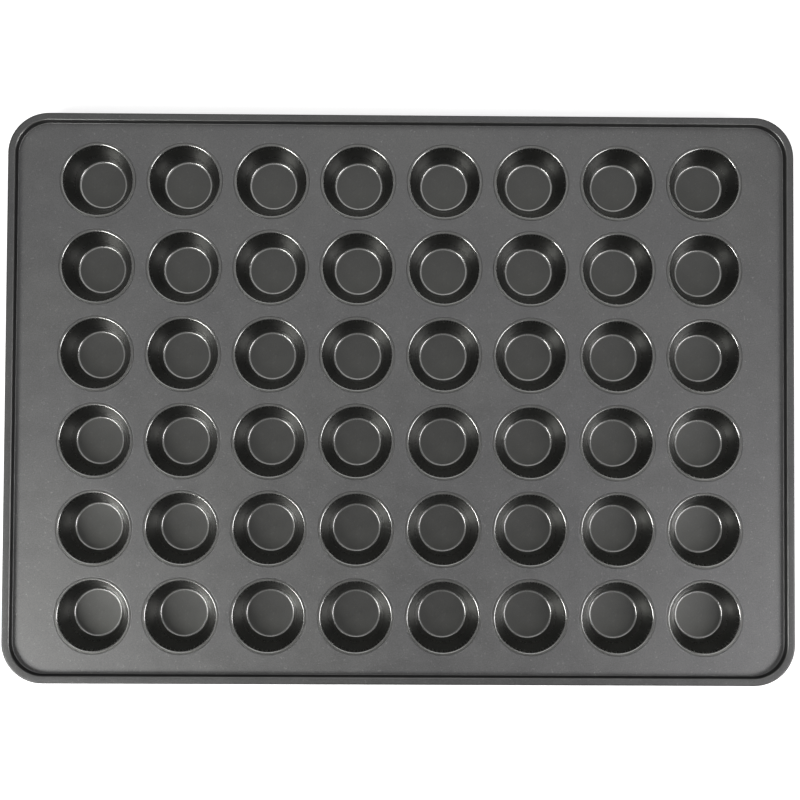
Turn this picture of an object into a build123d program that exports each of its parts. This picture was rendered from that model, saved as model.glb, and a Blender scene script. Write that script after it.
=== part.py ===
from build123d import *
import math
import os

# A 48-cup mini muffin tin. Each cup is drawn from sheet and hangs by its lip in a
# hole of one pressed plate. The plate's edge is turned up and hemmed round a wire.
#
# Frame: +X along the longer side, +Y along the shorter side, +Z up. The origin is
# on the ground under the middle of the tin, and the cup floors stand on Z = 0.
# All lengths are in mm.

os.makedirs("parts", exist_ok=True)

# whole tin
tin_length = 532.0
tin_width = 384.0
tin_height = 25.4
corner_radius = 27.5  # outside of the rim

# cups, with radii taken at the middle of the sheet
columns = 8
rows = 6
cup_pitch = 59.0
cup_sheet = 0.5
cup_depth = 19.0  # from the lip's top to the floor inside
cup_floor_radius = 16.45  # where floor and wall would meet without their bevel
cup_mouth_radius = 24.1  # where wall and lip would meet without their bevel
cup_floor_bevel = 1.0  # how far a bevel reaches along the sheet from its corner
cup_lip_bevel = 0.5
lip_radius = 25.6
lip_proud = 0.15  # the lip's top stands this far above the plate

# fold in the cup's wall that locks the plate up against the lip
lock_height = 1.0
lock_radius = 25.3
lock_root_radius = 23.53  # inside the wall's thickness all along the fold
lock_bevel = 0.3
lock_clearance = 0.05

# plate
plate_sheet = 0.6
hole_radius = 24.85
seat_radius = 25.75  # outer edge of the flat that a lip lies on
seat_slope = 0.6  # how far the step beside the flat spreads

# rim: the sheet turned up and closed round a wire in a hem with a flat top
wire_diameter = 4.0
wire_clearance = 0.05
wire_butt_gap = 0.5
rim_bends = (0.9, 0.9, 1.5, 1.5)  # foot, shoulder and sides, at the middle of the sheet
rim_wall_lean = 2.5  # degrees outward from upright
rim_strip = 5.5  # from the wire's middle to the flat of the plate
hem_tail = 0.9  # how far the free edge reaches inward past the wire's middle

# derived places
lip_top = cup_sheet + cup_depth
plate_top = lip_top - lip_proud
plate_bottom = plate_top - plate_sheet
seat_depth = cup_sheet - lip_proud
seat_bottom = plate_bottom - seat_depth
hem_reach = wire_diameter / 2 + wire_clearance + plate_sheet / 2
hem_half = hem_reach + plate_sheet / 2
wire_level = tin_height - hem_half
wire_half_length = tin_length / 2 - hem_half
wire_half_width = tin_width / 2 - hem_half
wire_corner_radius = corner_radius - hem_half


def half_route(gap):
    """Corners of the wire's route round the right half, from back to front."""
    return [
        (gap / 2, wire_half_width),
        (wire_half_length, wire_half_width),
        (wire_half_length, -wire_half_width),
        (0, -wire_half_width),
    ]


def cup_centre(row, column):
    """Ground point under a cup. Row 1 is at the front, column 1 at the left."""
    x = (column - (columns + 1) / 2) * cup_pitch
    y = (row - (rows + 1) / 2) * cup_pitch
    return (x, y, 0)


# ---- top plate: pressed sheet with a stepped hole for each cup and a hemmed rim ----

with BuildPart() as top_plate:
    # rim: foot bend, leaning wall and the hem round the wire
    with BuildLine(Plane.XY.offset(wire_level)) as rim_line:
        FilletPolyline(*half_route(0), radius=wire_corner_radius)
    sheet_level = (plate_top + plate_bottom) / 2 - wire_level
    wall_spread = (hem_reach - sheet_level) * math.tan(math.radians(rim_wall_lean))
    rim_section_plane = Plane(
        origin=(0, wire_half_width, wire_level), x_dir=(0, 1, 0), z_dir=(1, 0, 0)
    )
    with BuildSketch(rim_section_plane):
        with BuildLine():
            FilletPolyline(
                (-rim_strip, sheet_level),
                (-hem_reach - wall_spread, sheet_level),
                (-hem_reach, hem_reach),
                (hem_reach, hem_reach),
                (hem_reach, -hem_reach),
                (-hem_tail, -hem_reach),
                radius=rim_bends,
            )
        trace(line_width=plate_sheet)
    sweep(path=rim_line.line)
    mirror(about=Plane.YZ)

    # flat of the sheet
    with BuildSketch(Plane.XY.offset(plate_bottom)):
        RectangleRounded(
            2 * (wire_half_length - rim_strip),
            2 * (wire_half_width - rim_strip),
            wire_corner_radius - rim_strip,
        )
    extrude(amount=plate_sheet)

    # each hole has a flat seat, stepped down so that the cup's lip lies almost flush
    with Locations(Plane.XY.offset(seat_bottom)):
        with GridLocations(cup_pitch, cup_pitch, columns, rows):
            Cone(
                seat_radius - plate_sheet / 2,
                seat_radius - plate_sheet / 2 + seat_slope,
                seat_depth,
                align=(Align.CENTER, Align.CENTER, Align.MIN),
            )
    with Locations(Plane.XY.offset(plate_top - seat_depth)):
        with GridLocations(cup_pitch, cup_pitch, columns, rows):
            Cone(
                seat_radius,
                seat_radius + seat_slope,
                seat_depth,
                align=(Align.CENTER, Align.CENTER, Align.MIN),
                mode=Mode.SUBTRACT,
            )
            Cylinder(hole_radius, 4 * plate_sheet, mode=Mode.SUBTRACT)

top_plate.part.label = "top_plate"
export_step(top_plate.part, "parts/top_plate.step")


# ---- rim wire: one length of round wire bent to the outline, its ends butted ----

with BuildPart() as rim_wire:
    with BuildLine(Plane.XY.offset(wire_level)) as wire_line:
        FilletPolyline(*half_route(wire_butt_gap), radius=wire_corner_radius)
    wire_end_plane = Plane(
        origin=(wire_butt_gap / 2, wire_half_width, wire_level),
        x_dir=(0, 1, 0),
        z_dir=(1, 0, 0),
    )
    with BuildSketch(wire_end_plane):
        Circle(wire_diameter / 2)
    sweep(path=wire_line.line)
    mirror(about=Plane.YZ)

rim_wire.part.label = "rim_wire"
export_step(rim_wire.part, "parts/rim_wire.step")


# ---- cups: drawn from sheet, with a lip over the plate and a locking fold under it ----


def bevelled(before, corner, after, reach):
    """The two ends of a bevel that cuts a corner, each this far from it."""
    here = Vector(corner)
    back = (Vector(before) - here).normalized() * reach
    ahead = (Vector(after) - here).normalized() * reach
    return here + back, here + ahead


def drawn_cup(centre):
    """One cup, standing on the ground at a centre."""
    floor_middle = (0, cup_sheet / 2)
    floor_corner = (cup_floor_radius, cup_sheet / 2)
    mouth_corner = (cup_mouth_radius, lip_top - cup_sheet / 2)
    lip_edge = (lip_radius, lip_top - cup_sheet / 2)
    lock_top = seat_bottom - lock_clearance
    with BuildPart() as cup:
        with BuildSketch(Plane(origin=centre, x_dir=(1, 0, 0), z_dir=(0, -1, 0))):
            with BuildLine():
                Polyline(
                    floor_middle,
                    *bevelled(floor_middle, floor_corner, mouth_corner, cup_floor_bevel),
                    *bevelled(floor_corner, mouth_corner, lip_edge, cup_lip_bevel),
                    lip_edge,
                )
            trace(line_width=cup_sheet)
            with BuildLine():
                Polyline(
                    (lock_root_radius, lock_top),
                    (lock_radius - lock_bevel, lock_top),
                    (lock_radius, lock_top - lock_bevel),
                    (lock_radius, lock_top - lock_height + lock_bevel),
                    (lock_radius - lock_bevel, lock_top - lock_height),
                    (lock_root_radius, lock_top - lock_height),
                    close=True,
                )
            make_face()
        revolve(axis=Axis(centre, (0, 0, 1)))
    return cup


for row in range(1, rows + 1):
    for column in range(1, columns + 1):
        name = f"cup_r{row}_c{column}"
        cup = drawn_cup(cup_centre(row, column))
        cup.part.label = name
        export_step(cup.part, f"parts/{name}.step")
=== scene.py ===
import math

import bmesh
import bpy
from mathutils import Euler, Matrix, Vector


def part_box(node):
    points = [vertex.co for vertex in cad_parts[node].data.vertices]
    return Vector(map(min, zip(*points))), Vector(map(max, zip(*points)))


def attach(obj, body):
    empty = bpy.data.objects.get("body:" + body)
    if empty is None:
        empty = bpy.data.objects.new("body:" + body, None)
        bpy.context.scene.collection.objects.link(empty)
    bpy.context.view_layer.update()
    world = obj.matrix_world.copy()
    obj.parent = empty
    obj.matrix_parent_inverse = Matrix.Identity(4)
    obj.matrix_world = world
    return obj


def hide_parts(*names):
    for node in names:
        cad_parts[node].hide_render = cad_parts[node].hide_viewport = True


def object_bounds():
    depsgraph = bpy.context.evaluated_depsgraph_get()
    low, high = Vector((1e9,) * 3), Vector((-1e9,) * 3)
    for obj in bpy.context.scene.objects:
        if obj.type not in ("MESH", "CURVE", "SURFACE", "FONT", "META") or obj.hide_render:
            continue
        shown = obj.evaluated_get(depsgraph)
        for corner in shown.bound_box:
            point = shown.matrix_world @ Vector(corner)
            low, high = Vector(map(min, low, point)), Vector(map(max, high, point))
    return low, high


# A 48-cup mini muffin tin in dark non-stick steel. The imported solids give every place;
# the pieces here repeat them as smooth meshes with rounded edges and a coated finish.
# Lengths are in metres. +Y is the back, +Z is up.

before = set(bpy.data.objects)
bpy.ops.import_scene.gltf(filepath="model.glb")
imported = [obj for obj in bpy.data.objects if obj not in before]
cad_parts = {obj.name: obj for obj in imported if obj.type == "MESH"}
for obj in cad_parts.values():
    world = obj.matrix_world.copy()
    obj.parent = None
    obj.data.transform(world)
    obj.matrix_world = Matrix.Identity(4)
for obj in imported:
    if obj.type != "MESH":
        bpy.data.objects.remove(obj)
cad_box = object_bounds()

MM = 0.001

# sheet and cups, as in the solids
CUP_SHEET = 0.5 * MM
CUP_DEPTH = 19.0 * MM
FLOOR_CORNER = 16.45 * MM  # radii at the middle of the sheet
MOUTH_CORNER = 24.1 * MM
FLOOR_BEND = 1.1 * MM  # bends at the middle of the sheet
LIP_BEND = 0.6 * MM
FLOOR_RING = 1.2 * MM  # width of the ring at the edge of the floor with a painted highlight and a glossier coat
FLOOR_RING_RISE = 0.03 * MM
FLOOR_DISH = 0.45 * MM  # the floor sags this far from its edge to its middle
LIP_RADIUS = 25.6 * MM
LIP_PROUD = 0.15 * MM
LOCK_RADIUS = 25.3 * MM
LOCK_HEIGHT = 1.0 * MM
LOCK_CLEARANCE = 0.05 * MM

PLATE_SHEET = 0.6 * MM
HOLE_RADIUS = 24.85 * MM
SEAT_RADIUS = 25.75 * MM
SEAT_SLOPE = 0.6 * MM
LIP_GROOVE = 0.08 * MM  # width of the flat beside a lip, before the step's slope
HOLE_FLAT = 0.9 * MM  # plain sheet kept round each step

WIRE_RADIUS = 2.0 * MM
WIRE_CLEARANCE = 0.05 * MM
FOOT_BEND = 0.9 * MM  # bend from the plate up into the rim
WALL_LEAN = math.radians(2.5)
HEM_SHOULDER = 0.9 * MM  # bends of the hem round the wire, at the middle of the sheet
HEM_EDGE = 0.9 * MM
HEM_SIDE = 1.5 * MM
HEM_FALL = 0.3 * MM  # the hem's top falls this far from its outer edge to its inner one
HEM_TAIL = 0.9 * MM  # how far the free edge reaches inward past the wire's middle
RIM_STRIP = 5.5 * MM  # from the wire's middle to the flat of the plate
CORNER_RADIUS = 27.5 * MM  # outside of the rim

# levels
LIP_TOP = CUP_SHEET + CUP_DEPTH
PLATE_TOP = LIP_TOP - LIP_PROUD
PLATE_BOTTOM = PLATE_TOP - PLATE_SHEET
SEAT_DEPTH = CUP_SHEET - LIP_PROUD
SEAT_TOP = PLATE_TOP - SEAT_DEPTH
SEAT_BOTTOM = PLATE_BOTTOM - SEAT_DEPTH

# how finely the meshes are cut
AROUND_CUP = 96
DISH_STEPS = 8
SIDE_STEPS = 18  # along one side of a cup's square of plate
CORNER_STEPS = 16
WELD = 0.0005 * MM

# "steep", an attribute of every mesh: 1 on a cup's wall, -1 on its floor and on the hem, and
# 0 elsewhere, with a short blend between them. It scales the colour: painted light on the cup
# walls, painted shade on the cup floors and the hem; it also sets the walls' gloss.
STEEP_BLEND = 1.0 * MM
LIP_BLEND = 0.5 * MM
WALL_FADE = 0.5  # how much of it is lost by the mouth, so the walls' painted light is brightest at the foot

# finishes: noise scales are per metre
SPECKLE_SCALE = 1300.0  # specks a bit under a millimetre
FLECK_SCALE = 700.0
MOTTLE_SCALE = 70.0
PATCH_SCALE = 12.0
PEEL_SCALE = 400.0
STREAKS = 30.0  # marks round a cup's wall
STREAK_RISE = 40.0  # how fast the marks change up the wall
SHEEN_GLOSS = 0.5  # roughness of a bend with a painted highlight as a share of the coating's
WALL_GLOSS = 0.30  # roughness of a cup's wall as a share of its floor's
EDGE_TINT = (0.4, 0.4, 0.4, 1)  # how much of the plate's gloss is left at a grazing angle
BRIGHT_STEEL = (0.42, 0.42, 0.43, 1)
DULL_STEEL = (0.25, 0.2, 0.16, 1)

# stage
FLOOR_HALF = 6.0
FLOOR_COLOUR = (0.9, 0.9, 0.9, 1)
FLOOR_GLOW = 0.62
WORLD_STRENGTH = 0.2
CAMERA_PLACE = (-7.1 * MM, -25.3 * MM, 882.85 * MM)
CAMERA_TURN = (1.609, -0.464, 0.304)  # degrees
CAMERA_LENS = 57.36

COLUMNS = 8
ROWS = 6
CUPS = [(r, c) for r in range(1, ROWS + 1) for c in range(1, COLUMNS + 1)]


def cup_name(row, column):
    return f"cup_r{row}_c{column}"


def cup_middle(row, column):
    """Where a cup's axis stands, from its solid."""
    low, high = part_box(cup_name(row, column))
    return Vector(((low.x + high.x) / 2, (low.y + high.y) / 2))


# ---- sections ----


def rounded(corners):
    """A line through (u, v, radius, steps, wear) corners, with an arc of that radius and
    fineness at each. Gives (point, wear) pairs, with the painted sheen (a painted highlight)
    full in the middle of an arc."""
    made = []
    for i, (u, v, radius, steps, wear) in enumerate(corners):
        here = Vector((u, v))
        if radius == 0 or i in (0, len(corners) - 1):
            made.append((here, wear))
            continue
        back = (Vector(corners[i - 1][:2]) - here).normalized()
        ahead = (Vector(corners[i + 1][:2]) - here).normalized()
        half = back.angle(ahead) / 2
        reach = radius / math.tan(half)
        middle = here + (back + ahead).normalized() * radius / math.sin(half)
        start = here + back * reach - middle
        sweep = (here + ahead * reach - middle).angle_signed(start)
        for k in range(steps + 1):
            turn = sweep * k / steps
            cos, sin = math.cos(turn), math.sin(turn)
            spoke = Vector((start.x * cos - start.y * sin, start.x * sin + start.y * cos))
            made.append((middle + spoke, wear * math.sin(math.pi * k / steps)))
    return made


def thickened(line, thickness, cap_steps=4):
    """The outline of a sheet of some thickness along a line of (point, wear) pairs: its left
    side, a round cap at the far end, and its right side back to the start."""
    left, right = [], []
    places = [p for p, _ in line]
    for i, (point, wear) in enumerate(line):
        along = (places[min(i + 1, len(line) - 1)] - places[max(i - 1, 0)]).normalized()
        across = Vector((-along.y, along.x)) * thickness / 2
        left.append((point + across, wear))
        right.append((point - across, 0.0))
    cap = []
    for k in range(1, cap_steps):
        turn = math.pi * k / cap_steps
        tip = places[-1] + across * math.cos(turn) + along * thickness / 2 * math.sin(turn)
        cap.append((tip, 0.6))
    return left + cap + right[::-1]


def cup_section():
    """A cup's section from near the middle of its floor inside to the middle underneath."""
    half_sheet = CUP_SHEET / 2
    wall = Vector((MOUTH_CORNER - FLOOR_CORNER, LIP_TOP - CUP_SHEET))
    across = half_sheet * wall.length / wall.y  # from the sheet's middle to a face, level
    slope = wall.x / wall.y

    def wall_inside(z):
        return FLOOR_CORNER + (z - half_sheet) * slope - across

    def wall_outside(z):
        return FLOOR_CORNER + (z - half_sheet) * slope + across

    lock_top = SEAT_BOTTOM - LOCK_CLEARANCE
    lock_bottom = lock_top - LOCK_HEIGHT
    lip_under = LIP_TOP - CUP_SHEET
    nose = 0.48 * LOCK_HEIGHT
    inside = wall_inside(CUP_SHEET)
    flat = inside - FLOOR_RING
    shares = [k / DISH_STEPS for k in range(DISH_STEPS)]
    dish = [(flat * t, CUP_SHEET + FLOOR_DISH * t * t, 0, 0, 0) for t in shares]
    belly = [(flat * t, FLOOR_DISH * t * t, 0, 0, 0) for t in reversed(shares)]
    edge = CUP_SHEET + FLOOR_DISH
    # the last number at each corner is painted sheen: a painted highlight on the floor ring, the
    # mouth bend and the lip
    return rounded(
        dish
        + [
            (flat, edge, 0, 0, 0),
            (inside - 0.5 * FLOOR_RING, edge + FLOOR_RING_RISE, 0, 0, 1),
            (inside, edge, FLOOR_BEND - half_sheet, 6, 1),
            (wall_inside(LIP_TOP / 2), LIP_TOP / 2, 0, 0, 0),
            (wall_inside(LIP_TOP), LIP_TOP, LIP_BEND + half_sheet, 8, 1),
            (LIP_RADIUS, LIP_TOP, 0.28 * CUP_SHEET, 4, 0.3),
            (LIP_RADIUS, lip_under, 0.3 * CUP_SHEET, 2, 0),
            (wall_outside(lip_under), lip_under, LIP_BEND - half_sheet, 3, 0),
            (wall_outside(lock_top), lock_top, 0.1 * MM, 2, 0),
            (LOCK_RADIUS, lock_top, nose, 4, 0.3),
            (LOCK_RADIUS, lock_bottom, nose, 4, 0.3),
            (wall_outside(lock_bottom), lock_bottom, 0.3 * MM, 3, 0),
            (wall_outside(FLOOR_DISH), FLOOR_DISH, FLOOR_BEND + half_sheet, 7, 0.8),
            (flat, FLOOR_DISH, 0, 0, 0),
        ]
        + belly
    )


def hole_section():
    """The plate's section round a hole, from its top face over the edge to its underside."""
    under = SEAT_RADIUS - PLATE_SHEET / 2
    slope_top = SEAT_RADIUS + SEAT_SLOPE
    flat_from = slope_top + HOLE_FLAT
    # the last number at each corner is painted sheen: a faint painted highlight on the edge of
    # the step
    return rounded(
        [
            (flat_from, PLATE_TOP, 0, 0, 0),
            (slope_top, PLATE_TOP, 0.6 * MM, 2, 0),
            (SEAT_RADIUS + LIP_GROOVE, PLATE_TOP - 0.05 * MM, 0.1 * MM, 2, 0.3),
            (SEAT_RADIUS, SEAT_TOP, 0.1 * MM, 1, 0),
            (HOLE_RADIUS, SEAT_TOP, 0.1 * MM, 1, 0),
            (HOLE_RADIUS, SEAT_BOTTOM, 0.1 * MM, 1, 0),
            (under, SEAT_BOTTOM, 0.4 * MM, 2, 0),
            (under + SEAT_SLOPE, PLATE_BOTTOM, 0.3 * MM, 1, 0),
            (flat_from, PLATE_BOTTOM, 0, 0, 0),
        ]
    )


def rim_section():
    """The rim's section, with u outward from the wire's middle and v the height, from the
    plate's top face up the wall, over the hem to its free edge, and back underneath."""
    reach = WIRE_RADIUS + WIRE_CLEARANCE + PLATE_SHEET / 2
    wire_level = cad_box[1][2] - reach - PLATE_SHEET / 2
    sheet_level = (PLATE_TOP + PLATE_BOTTOM) / 2
    top_level = wire_level + reach
    foot = -reach - (top_level - sheet_level) * math.tan(WALL_LEAN)
    # the last number at each corner is painted sheen: a painted highlight on the hem's bends
    line = rounded(
        [
            (-RIM_STRIP, sheet_level, 0, 0, 0),
            (foot, sheet_level, FOOT_BEND, 4, 0.15),
            (-reach, top_level - HEM_FALL, HEM_SHOULDER, 5, 0.8),
            (reach, top_level, HEM_EDGE, 4, 0.2),
            (reach, wire_level - reach, HEM_SIDE, 4, 0),
            (-HEM_TAIL, wire_level - reach, 0, 0, 0.5),
        ]
    )
    return thickened(line, PLATE_SHEET)


# ---- meshes ----


class Shell:
    """Points and faces of one mesh as it is put together."""

    def __init__(self):
        self.points, self.wear, self.steep, self.faces = [], [], [], []

    def row(self, points, wear=0.0, steep=0.0):
        """Adds a row of points and gives their numbers."""
        first = len(self.points)
        self.points += [tuple(p) for p in points]
        self.wear += [wear] * (len(self.points) - first)
        self.steep += [steep] * (len(self.points) - first)
        return list(range(first, len(self.points)))

    def strip(self, low, high):
        """Faces between two closed rows of the same length."""
        for i in range(len(low)):
            j = (i + 1) % len(low)
            face = [low[i], low[j], high[j], high[i]]
            self.faces.append(list(dict.fromkeys(face)))

    def made(self, name, material, place=(0, 0, 0)):
        """The piece, its points joined where they lie on each other."""
        mesh = bpy.data.meshes.new(name)
        mesh.from_pydata(self.points, [], [f for f in self.faces if len(f) > 2])
        # painted sheen: where the colour is lightened as a painted highlight on the bends
        wear = mesh.attributes.new("wear", "FLOAT", "POINT")
        wear.data.foreach_set("value", self.wear)
        steep = mesh.attributes.new("steep", "FLOAT", "POINT")
        steep.data.foreach_set("value", self.steep)
        joined = bmesh.new()
        joined.from_mesh(mesh)
        bmesh.ops.remove_doubles(joined, verts=joined.verts, dist=WELD)
        bmesh.ops.recalc_face_normals(joined, faces=joined.faces)
        joined.to_mesh(mesh)
        joined.free()
        mesh.materials.append(material)
        mesh.shade_smooth()
        piece = bpy.data.objects.new(name, mesh)
        piece.location = place
        bpy.context.scene.collection.objects.link(piece)
        even = piece.modifiers.new("flat faces keep flat", "WEIGHTED_NORMAL")
        even.weight = 90
        even.keep_sharp = True
        return piece


def clamped(value, low=0.0, high=1.0):
    return min(high, max(low, value))


def circle(middle, radius, level, count, turned=0.0):
    """Points round a circle, the first turned by a number of steps."""
    turns = [2 * math.pi * (k + turned) / count for k in range(count)]
    return [
        (middle.x + radius * math.cos(t), middle.y + radius * math.sin(t), level) for t in turns
    ]


def cup_mesh(row, column, material):
    """One cup: its section turned about its axis."""
    shell = Shell()
    axis = Vector((0, 0))
    section = cup_section()
    top_middle = shell.row([(0, 0, section[0][0].y)], 0.0, -1.0)[0]
    edge = max(range(len(section)), key=lambda k: section[k][0].x)  # the lip's outer edge
    rings = []
    for k, (p, wear) in enumerate(section[1:-1], 1):
        # steep: -1 on the floor for its painted shade, 1 on the wall for its painted light,
        # which fades up the wall
        steep = clamped((p.x - FLOOR_CORNER) / STEEP_BLEND, -1.0) if k < edge else 0.0
        steep *= clamped((MOUTH_CORNER + LIP_BLEND - p.x) / LIP_BLEND)
        steep *= 1 - WALL_FADE * p.y / LIP_TOP
        rings.append(shell.row(circle(axis, p.x, p.y, AROUND_CUP), wear, steep))
    under_middle = shell.row([(0, 0, section[-1][0].y)])[0]
    for low, high in zip(rings, rings[1:]):
        shell.strip(low, high)
    for i in range(AROUND_CUP):
        j = (i + 1) % AROUND_CUP
        shell.faces.append([top_middle, rings[0][i], rings[0][j]])
        shell.faces.append([under_middle, rings[-1][j], rings[-1][i]])
    middle = cup_middle(row, column)
    return shell.made(f"drawn_{cup_name(row, column)}", material, (middle.x, middle.y, 0))


def square_loop(middle, half, level):
    """Points round a square, counter-clockwise from the corner at +X -Y."""
    corners = [Vector(c) for c in ((1, -1), (1, 1), (-1, 1), (-1, -1))]
    loop = []
    for k in range(4):
        for i in range(SIDE_STEPS):
            place = middle + half * corners[k].lerp(corners[(k + 1) % 4], i / SIDE_STEPS)
            loop.append((place.x, place.y, level))
    return loop


def rim_stations():
    """Places round the rim: (point on the cups' grid edge, point on the wire, outward way).
    They run counter-clockwise from the right end of the front side."""
    bead = WIRE_RADIUS + WIRE_CLEARANCE + PLATE_SHEET
    wire = Vector((cad_box[1][0] - bead, cad_box[1][1] - bead))
    turn_radius = CORNER_RADIUS - bead
    straight = wire - Vector((turn_radius, turn_radius))
    grid = PITCH / 2 * Vector((COLUMNS, ROWS))
    stations = []
    for k in range(4):
        way = Vector(((1, 0), (0, 1), (-1, 0), (0, -1))[k])
        along = Vector((-way.y, way.x))
        reach = abs(way.dot(wire))
        grid_reach = abs(way.dot(grid))
        run = abs(along.dot(straight))
        grid_run = abs(along.dot(grid))
        steps = SIDE_STEPS * (COLUMNS if along.x else ROWS)
        for i in range(steps + 1):
            t = 2 * i / steps - 1
            stations.append(
                (way * grid_reach + along * grid_run * t, way * reach + along * run * t, way)
            )
        corner = way * grid_reach + along * grid_run
        middle = way * (reach - turn_radius) + along * run
        for i in range(1, CORNER_STEPS):
            turn = math.pi / 2 * i / CORNER_STEPS
            out = way * math.cos(turn) + along * math.sin(turn)
            stations.append((corner, middle + out * turn_radius, out))
    return stations


def plate_mesh(material):
    """The plate: a square of sheet round each hole, a margin, and the rim."""
    shell = Shell()
    section = hole_section()
    around = 4 * SIDE_STEPS
    for row, column in CUPS:
        middle = cup_middle(row, column)
        rows = [shell.row(square_loop(middle, PITCH / 2, PLATE_TOP))]
        for p, wear in section:
            rows.append(shell.row(circle(middle, p.x, p.y, around, -around / 8), wear))
        rows.append(shell.row(square_loop(middle, PITCH / 2, PLATE_BOTTOM)))
        for low, high in zip(rows, rows[1:]):
            shell.strip(low, high)
    stations = rim_stations()
    rows = [shell.row([(g.x, g.y, PLATE_TOP) for g, _, _ in stations])]
    for p, wear in rim_section():
        places = [w + out * p.x for _, w, out in stations]
        # the raised rim gets steep -1: painted shade on the hem
        raised = clamped((p.y - PLATE_TOP) / STEEP_BLEND)
        rows.append(shell.row([(q.x, q.y, p.y) for q in places], wear, -raised))
    rows.append(shell.row([(g.x, g.y, PLATE_BOTTOM) for g, _, _ in stations]))
    for low, high in zip(rows, rows[1:]):
        shell.strip(low, high)
    return shell.made("pressed_plate", material)


# ---- finishes ----


class Finish:
    """A material and short ways to add nodes to it."""

    def __init__(self, name):
        self.material = bpy.data.materials.new(name)
        self.material.use_nodes = True
        self.tree = self.material.node_tree
        self.shader = self.tree.nodes["Principled BSDF"]
        self.shader.inputs["Metallic"].default_value = 1.0
        self.place = self.node("ShaderNodeTexCoord").outputs["Object"]

    def node(self, kind, **settings):
        made = self.tree.nodes.new(kind)
        for key, value in settings.items():
            setattr(made, key, value)
        return made

    def feed(self, socket, value):
        """Links a socket or sets a value."""
        if isinstance(value, bpy.types.NodeSocket):
            self.tree.links.new(value, socket)
        else:
            socket.default_value = value

    def noise(self, scale, detail=2.0, roughness=0.5, place=None):
        made = self.node("ShaderNodeTexNoise")
        self.feed(made.inputs["Vector"], place or self.place)
        self.feed(made.inputs["Scale"], scale)
        self.feed(made.inputs["Detail"], detail)
        self.feed(made.inputs["Roughness"], roughness)
        return made.outputs["Fac"]

    def span(self, value, low, high, start=0.3, end=0.7):
        """A value that goes from low to high as the given one goes from start to end."""
        made = self.node("ShaderNodeMapRange")
        for key, number in zip(
            ("Value", "From Min", "From Max", "To Min", "To Max"), (value, start, end, low, high)
        ):
            self.feed(made.inputs[key], number)
        return made.outputs["Result"]

    def math(self, operation, a, b):
        made = self.node("ShaderNodeMath", operation=operation)
        self.feed(made.inputs[0], a)
        self.feed(made.inputs[1], b)
        return made.outputs[0]

    def vector(self, operation, a, b=None, scale=None):
        made = self.node("ShaderNodeVectorMath", operation=operation)
        self.feed(made.inputs[0], a)
        if b is not None:
            self.feed(made.inputs[1], b)
        if scale is not None:
            self.feed(made.inputs["Scale"], scale)
        return made.outputs["Vector"]

    def mix(self, factor, a, b):
        made = self.node("ShaderNodeMix", data_type="RGBA")
        self.feed(made.inputs["Factor"], factor)
        self.feed(made.inputs["A"], a)
        self.feed(made.inputs["B"], b)
        return made.outputs["Result"]

    def bump(self, height, distance, under=None):
        made = self.node("ShaderNodeBump")
        self.feed(made.inputs["Height"], height)
        self.feed(made.inputs["Distance"], distance)
        if under:
            self.feed(made.inputs["Normal"], under)
        return made.outputs["Normal"]


def coated_steel(name, colour, tint, painted_sheen_colour, roughness, grain, painted_shade_tone, painted_light_tone):
    """Dark non-stick coating on steel: fine speckle, soft mottling, an orange-peel skin, and
    a painted highlight with a glossier coat on the tight bends. Where steep is -1 the colour is
    scaled as painted shade, where it is 1 as painted light."""
    finish = Finish(name)
    speckle = finish.noise(SPECKLE_SCALE, 2.0, 0.65)
    flecks = finish.noise(FLECK_SCALE, 1.0, 0.5)
    mottling = finish.noise(MOTTLE_SCALE, 3.0, 0.55)
    patches = finish.noise(PATCH_SCALE, 2.0, 0.5)
    tone = finish.math(
        "MULTIPLY",
        finish.span(speckle, 1 - grain, 1 + grain),
        finish.span(mottling, 0.95, 1.05),
    )
    tone = finish.math("MULTIPLY", tone, finish.span(flecks, 1.0, 1 + 3 * grain, 0.66, 0.8))
    hue = finish.mix(finish.span(patches, 0.0, 1.0), (*colour, 1), (*tint, 1))
    steep = finish.node("ShaderNodeAttribute", attribute_name="steep").outputs["Fac"]
    # painted shade: darker where steep is -1, on the cup floors and the hem
    tone = finish.math("MULTIPLY", tone, finish.span(steep, painted_shade_tone, 1.0, -1.0, 0.0))
    # painted light: brighter where steep is 1, on the cup walls
    tone = finish.math("MULTIPLY", tone, finish.span(steep, 1.0, painted_light_tone, 0.0, 1.0))
    shade = finish.vector("SCALE", hue, scale=tone)
    # painted highlight on the bends: the colour is lightened where the sheen attribute is high,
    # broken up by the mottling, and the coat there is glossier
    wear = finish.node("ShaderNodeAttribute", attribute_name="wear").outputs["Fac"]
    broken_sheen = finish.math("MULTIPLY", wear, finish.span(mottling, 0.7, 1.0))
    shade = finish.mix(broken_sheen, shade, (*painted_sheen_colour, 1))
    finish.feed(finish.shader.inputs["Base Color"], shade)
    dull = finish.math(
        "MULTIPLY",
        finish.span(speckle, roughness - 0.04, roughness + 0.04),
        finish.span(mottling, 0.96, 1.04),
    )
    dull = finish.math("MULTIPLY", dull, finish.span(broken_sheen, 1.0, SHEEN_GLOSS, 0.0, 1.0))
    finish.feed(finish.shader.inputs["Roughness"], dull)
    peel = finish.bump(finish.noise(PEEL_SCALE, 2.0), 0.02 * MM)
    skin = finish.bump(speckle, grain * 0.05 * MM, peel)
    finish.feed(finish.shader.inputs["Normal"], skin)
    return finish


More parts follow.
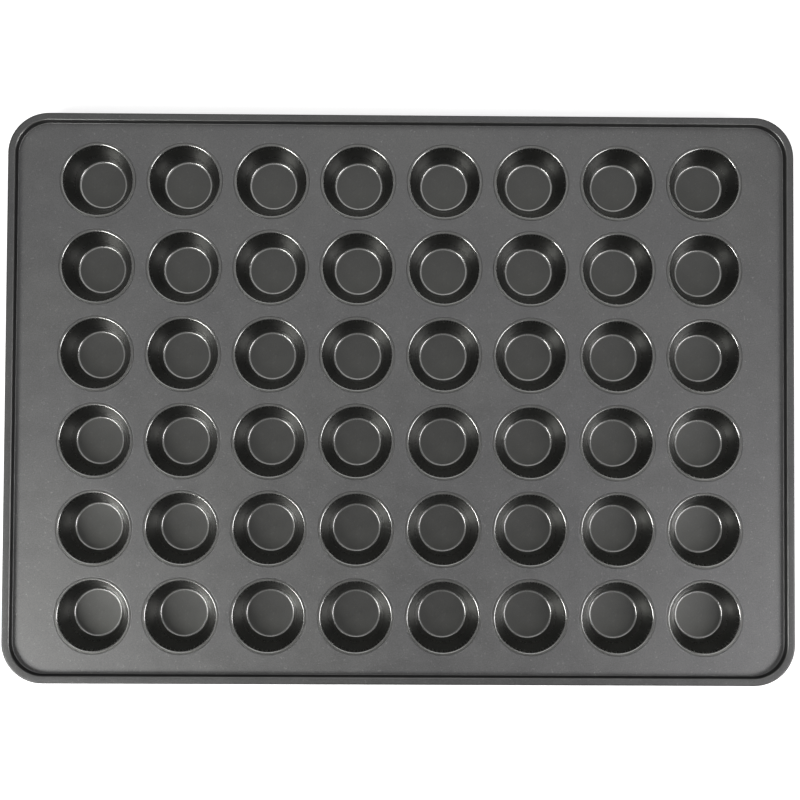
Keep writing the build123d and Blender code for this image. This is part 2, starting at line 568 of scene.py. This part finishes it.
def streaked(finish):
    """Adds what the drawing left on a cup: a smoother wall, with faint marks up it."""
    flat = finish.vector("MULTIPLY", finish.place, (1, 1, 0))
    around = finish.vector("SCALE", finish.vector("NORMALIZE", flat), scale=STREAKS)
    rise = finish.vector("SCALE", finish.place, scale=STREAK_RISE)
    lifted = finish.vector("ADD", around, rise)
    marks = finish.noise(1.0, 2.0, 0.5, lifted)
    before = finish.shader.inputs["Roughness"].links[0].from_socket
    after = finish.math("MULTIPLY", before, finish.span(marks, 0.93, 1.07))
    steep = finish.node("ShaderNodeAttribute", attribute_name="steep").outputs["Fac"]
    after = finish.math("MULTIPLY", after, finish.span(steep, 1.0, WALL_GLOSS, 0.0, 1.0))
    finish.feed(finish.shader.inputs["Roughness"], after)


def drawn_wire(name):
    """Plain steel wire with fine marks along it."""
    finish = Finish(name)
    marks = finish.noise(900.0, 3.0, 0.6)
    rust = finish.noise(120.0, 4.0, 0.6)
    tone = finish.mix(finish.span(rust, 0.0, 0.5, 0.5, 0.75), BRIGHT_STEEL, DULL_STEEL)
    finish.feed(finish.shader.inputs["Base Color"], tone)
    finish.feed(finish.shader.inputs["Roughness"], finish.span(marks, 0.28, 0.42))
    finish.feed(finish.shader.inputs["Normal"], finish.bump(marks, 0.01 * MM))
    return finish


plate_finish = coated_steel(
    "plate_coating",
    colour=(0.168, 0.168, 0.167),
    tint=(0.158, 0.158, 0.160),
    # colour of the painted highlight on the bends
    painted_sheen_colour=(0.24, 0.24, 0.235),
    roughness=0.48,
    grain=0.16,
    # painted shade on the hem
    painted_shade_tone=0.72,
    painted_light_tone=1.0,
)
plate_finish.shader.inputs["Specular Tint"].default_value = EDGE_TINT
cup_finish = coated_steel(
    "cup_coating",
    colour=(0.152, 0.152, 0.150),
    tint=(0.150, 0.151, 0.142),
    # colour of the painted highlight on the bends
    painted_sheen_colour=(0.50, 0.50, 0.49),
    roughness=0.42,
    grain=0.08,
    # painted shade on the cup floors
    painted_shade_tone=0.62,
    # painted light on the cup walls, brightest at the foot
    painted_light_tone=2.0,
)
streaked(cup_finish)
wire_finish = drawn_wire("drawn_wire_steel")


# ---- pieces ----

PITCH = (cup_middle(1, 2) - cup_middle(1, 1)).length

plate = plate_mesh(plate_finish.material)
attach(plate, "root")
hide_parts("top_plate")

for row, column in CUPS:
    cup = cup_mesh(row, column, cup_finish.material)
    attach(cup, "root")
    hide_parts(cup_name(row, column))

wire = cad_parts["rim_wire"]
for material_slot in wire.material_slots:
    material_slot.material = wire_finish.material


# ---- stage ----

floor_mesh = bpy.data.meshes.new("floor")
floor_ends = ((-1, -1), (1, -1), (1, 1), (-1, 1))
floor_corners = [(x * FLOOR_HALF, y * FLOOR_HALF, 0) for x, y in floor_ends]
floor_mesh.from_pydata(floor_corners, [], [(0, 1, 2, 3)])
floor = bpy.data.objects.new("floor", floor_mesh)
bpy.context.scene.collection.objects.link(floor)
pale = bpy.data.materials.new("pale_floor")
pale.use_nodes = True
pale_shader = pale.node_tree.nodes["Principled BSDF"]
pale_shader.inputs["Base Color"].default_value = FLOOR_COLOUR
pale_shader.inputs["Roughness"].default_value = 0.9
pale_shader.inputs["Emission Color"].default_value = (1, 1, 1, 1)
pale_shader.inputs["Emission Strength"].default_value = FLOOR_GLOW
floor_mesh.materials.append(pale)

world = bpy.data.worlds.new("studio")
bpy.context.scene.world = world
world.use_nodes = True
backdrop = world.node_tree.nodes["Background"]
backdrop.inputs["Color"].default_value = (1, 1, 1, 1)
backdrop.inputs["Strength"].default_value = WORLD_STRENGTH


def softbox(name, place, side, watts, colour):
    """A soft square lamp that faces the tin."""
    lamp = bpy.data.lights.new(name, "AREA")
    lamp.shape = "SQUARE"
    lamp.size = side
    lamp.energy = watts
    lamp.color = colour
    holder = bpy.data.objects.new(name, lamp)
    holder.location = place
    holder.rotation_euler = (-Vector(place)).to_track_quat("-Z", "Y").to_euler()
    bpy.context.scene.collection.objects.link(holder)


softbox("left_softbox", (-1.20, -0.86, 1.50), 0.7, 24, (1.0, 1.0, 0.98))
softbox("right_softbox", (1.36, -0.62, 1.50), 0.9, 18, (1.0, 0.99, 0.995))
softbox("back_panel", (0.0, 1.5, 3.0), 2.6, 20, (1.0, 1.0, 1.0))

bpy.context.scene.view_settings.view_transform = "Standard"

# the camera looks almost straight down
camera = bpy.data.cameras.new("camera")
camera.lens = CAMERA_LENS
camera.sensor_width = 36.0
camera_holder = bpy.data.objects.new("camera", camera)
camera_holder.location = CAMERA_PLACE
camera_holder.rotation_euler = Euler([math.radians(a) for a in CAMERA_TURN])
bpy.context.scene.collection.objects.link(camera_holder)
bpy.context.scene.camera = camera_holder
